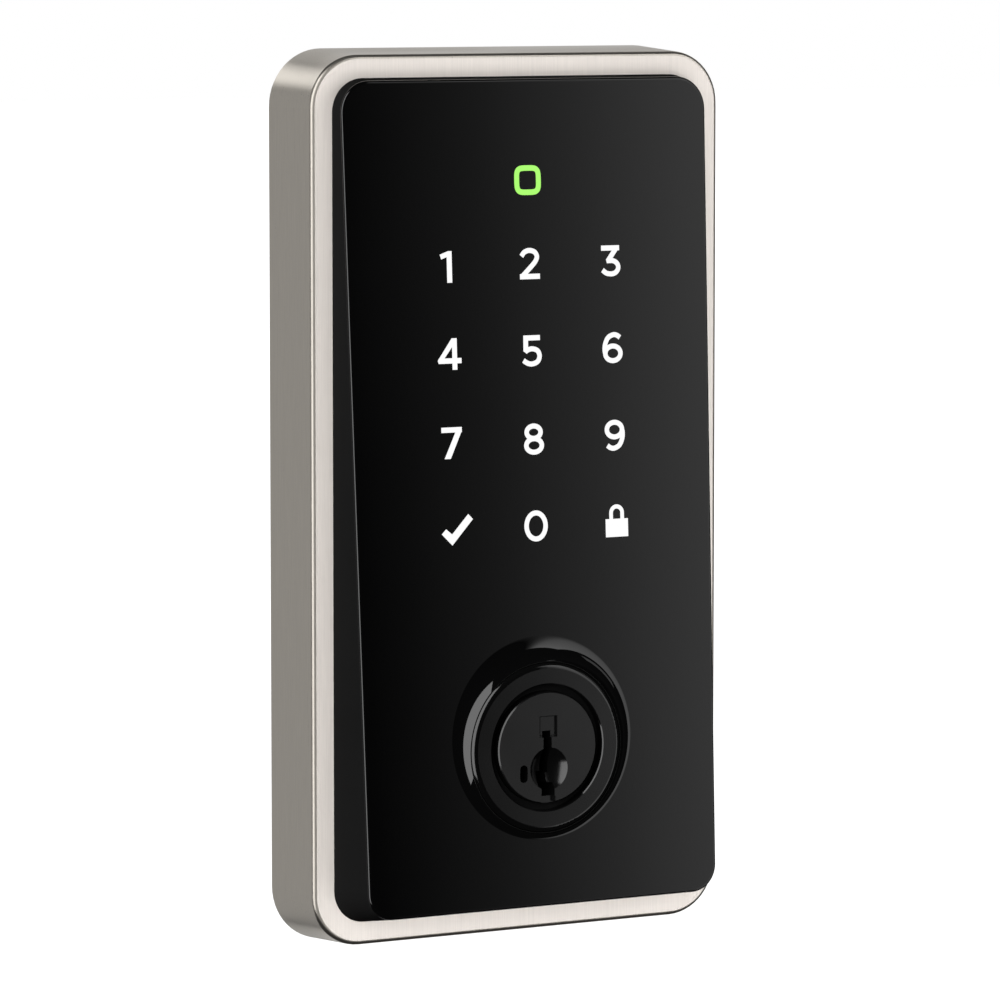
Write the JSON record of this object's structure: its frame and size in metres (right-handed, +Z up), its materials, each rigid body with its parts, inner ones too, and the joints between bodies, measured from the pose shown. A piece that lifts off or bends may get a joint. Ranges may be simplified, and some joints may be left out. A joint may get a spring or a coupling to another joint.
{
  "type": "keypad smart lock",
  "caption": "Exterior half of a keypad smart lock: metal frame, slanted black touch panel with lit numerals and a key cylinder that turns a blade through the door.",
  "frame": {"origin": "on the key cylinder's axis, in the plane where the lock's back meets the door", "axes": "+Z up the lock, +Y into the door along the cylinder axis, so the keypad faces -Y; +X to the right of someone facing the keypad"},
  "size_m": [0.0754, 0.0683, 0.1416],
  "materials": {
    "satin_nickel": "satin, brushed up and down",
    "gloss_black": "high gloss",
    "black_metal": "black, satin",
    "rubber_black": "matte",
    "white_plastic": "matte",
    "clear_plastic": "clear",
    "circuit_board": "solder mask",
    "led_white": "lens",
    "led_green": "lens",
    "chip_black": "moulded",
    "connector_plastic": "moulded",
    "zinc_screws": "zinc plated",
    "black_plastic": "moulded, fine texture",
    "zinc_steel": "zinc plated",
    "cast_zinc": "die cast",
    "spring_steel": "polished",
    "brass": "machined"
  },
  "bodies": {
    "exterior_unit": {"escutcheon_frame": "satin_nickel", "touch_panel": "gloss_black", "cylinder_collar": "black_metal", "panel_seal": "rubber_black", "rear_gasket": "rubber_black", "cable_grommet": "rubber_black", "cylinder_seal": "rubber_black", "diffuser_sheet": "white_plastic", "light_baffle": "white_plastic", "status_light_pipe": "clear_plastic", "touch_board": "circuit_board", "key_leds": "led_white", "status_leds": "led_green", "controller_chip": "chip_black", "cable_connector": "connector_plastic", "board_screws": "zinc_screws", "panel_screws": "zinc_screws", "back_plate_screws": "zinc_screws", "cylinder_screws": "zinc_screws", "module_cover": "black_plastic", "back_plate": "zinc_steel", "mounting_post_left": "zinc_steel", "mounting_post_right": "zinc_steel", "cylinder_body": "cast_zinc"},
    "plug": {"cylinder_plug": "black_metal", "chamber_cover": "brass", "sidebar": "brass", "sidebar_springs": "spring_steel", "plug_clip": "spring_steel", "torque_blade": "zinc_steel", "blade_pin": "zinc_steel", "follower_spring_1": "spring_steel", "follower_spring_2": "spring_steel", "follower_spring_3": "spring_steel", "follower_spring_4": "spring_steel", "follower_spring_5": "spring_steel"},
    "tumbler_1": {"key_follower_1": "brass", "tumbler_wafer_1": "brass"},
    "tumbler_2": {"key_follower_2": "brass", "tumbler_wafer_2": "brass"},
    "tumbler_3": {"key_follower_3": "brass", "tumbler_wafer_3": "brass"},
    "tumbler_4": {"key_follower_4": "brass", "tumbler_wafer_4": "brass"},
    "tumbler_5": {"key_follower_5": "brass", "tumbler_wafer_5": "brass"}
  },
  "joints": [
    {"name": "plug_turn", "type": "hinge", "parent": "exterior_unit", "child": "plug", "pos_m": [0, 0, 0], "axis": [0, 1, 0], "range_deg": [-90, 90]},
    {"name": "tumbler_1_lift", "type": "slide", "parent": "plug", "child": "tumbler_1", "axis": [0, 0, 1], "range_m": [0, 0.0025], "stiffness_N_per_m": 100, "springref_m": -0.003, "deforming": ["follower_spring_1"]},
    {"name": "tumbler_2_lift", "type": "slide", "parent": "plug", "child": "tumbler_2", "axis": [0, 0, 1], "range_m": [0, 0.0025], "stiffness_N_per_m": 100, "springref_m": -0.003, "deforming": ["follower_spring_2"]},
    {"name": "tumbler_3_lift", "type": "slide", "parent": "plug", "child": "tumbler_3", "axis": [0, 0, 1], "range_m": [0, 0.0025], "stiffness_N_per_m": 100, "springref_m": -0.003, "deforming": ["follower_spring_3"]},
    {"name": "tumbler_4_lift", "type": "slide", "parent": "plug", "child": "tumbler_4", "axis": [0, 0, 1], "range_m": [0, 0.0025], "stiffness_N_per_m": 100, "springref_m": -0.003, "deforming": ["follower_spring_4"]},
    {"name": "tumbler_5_lift", "type": "slide", "parent": "plug", "child": "tumbler_5", "axis": [0, 0, 1], "range_m": [0, 0.0025], "stiffness_N_per_m": 100, "springref_m": -0.003, "deforming": ["follower_spring_5"]}
  ]
}
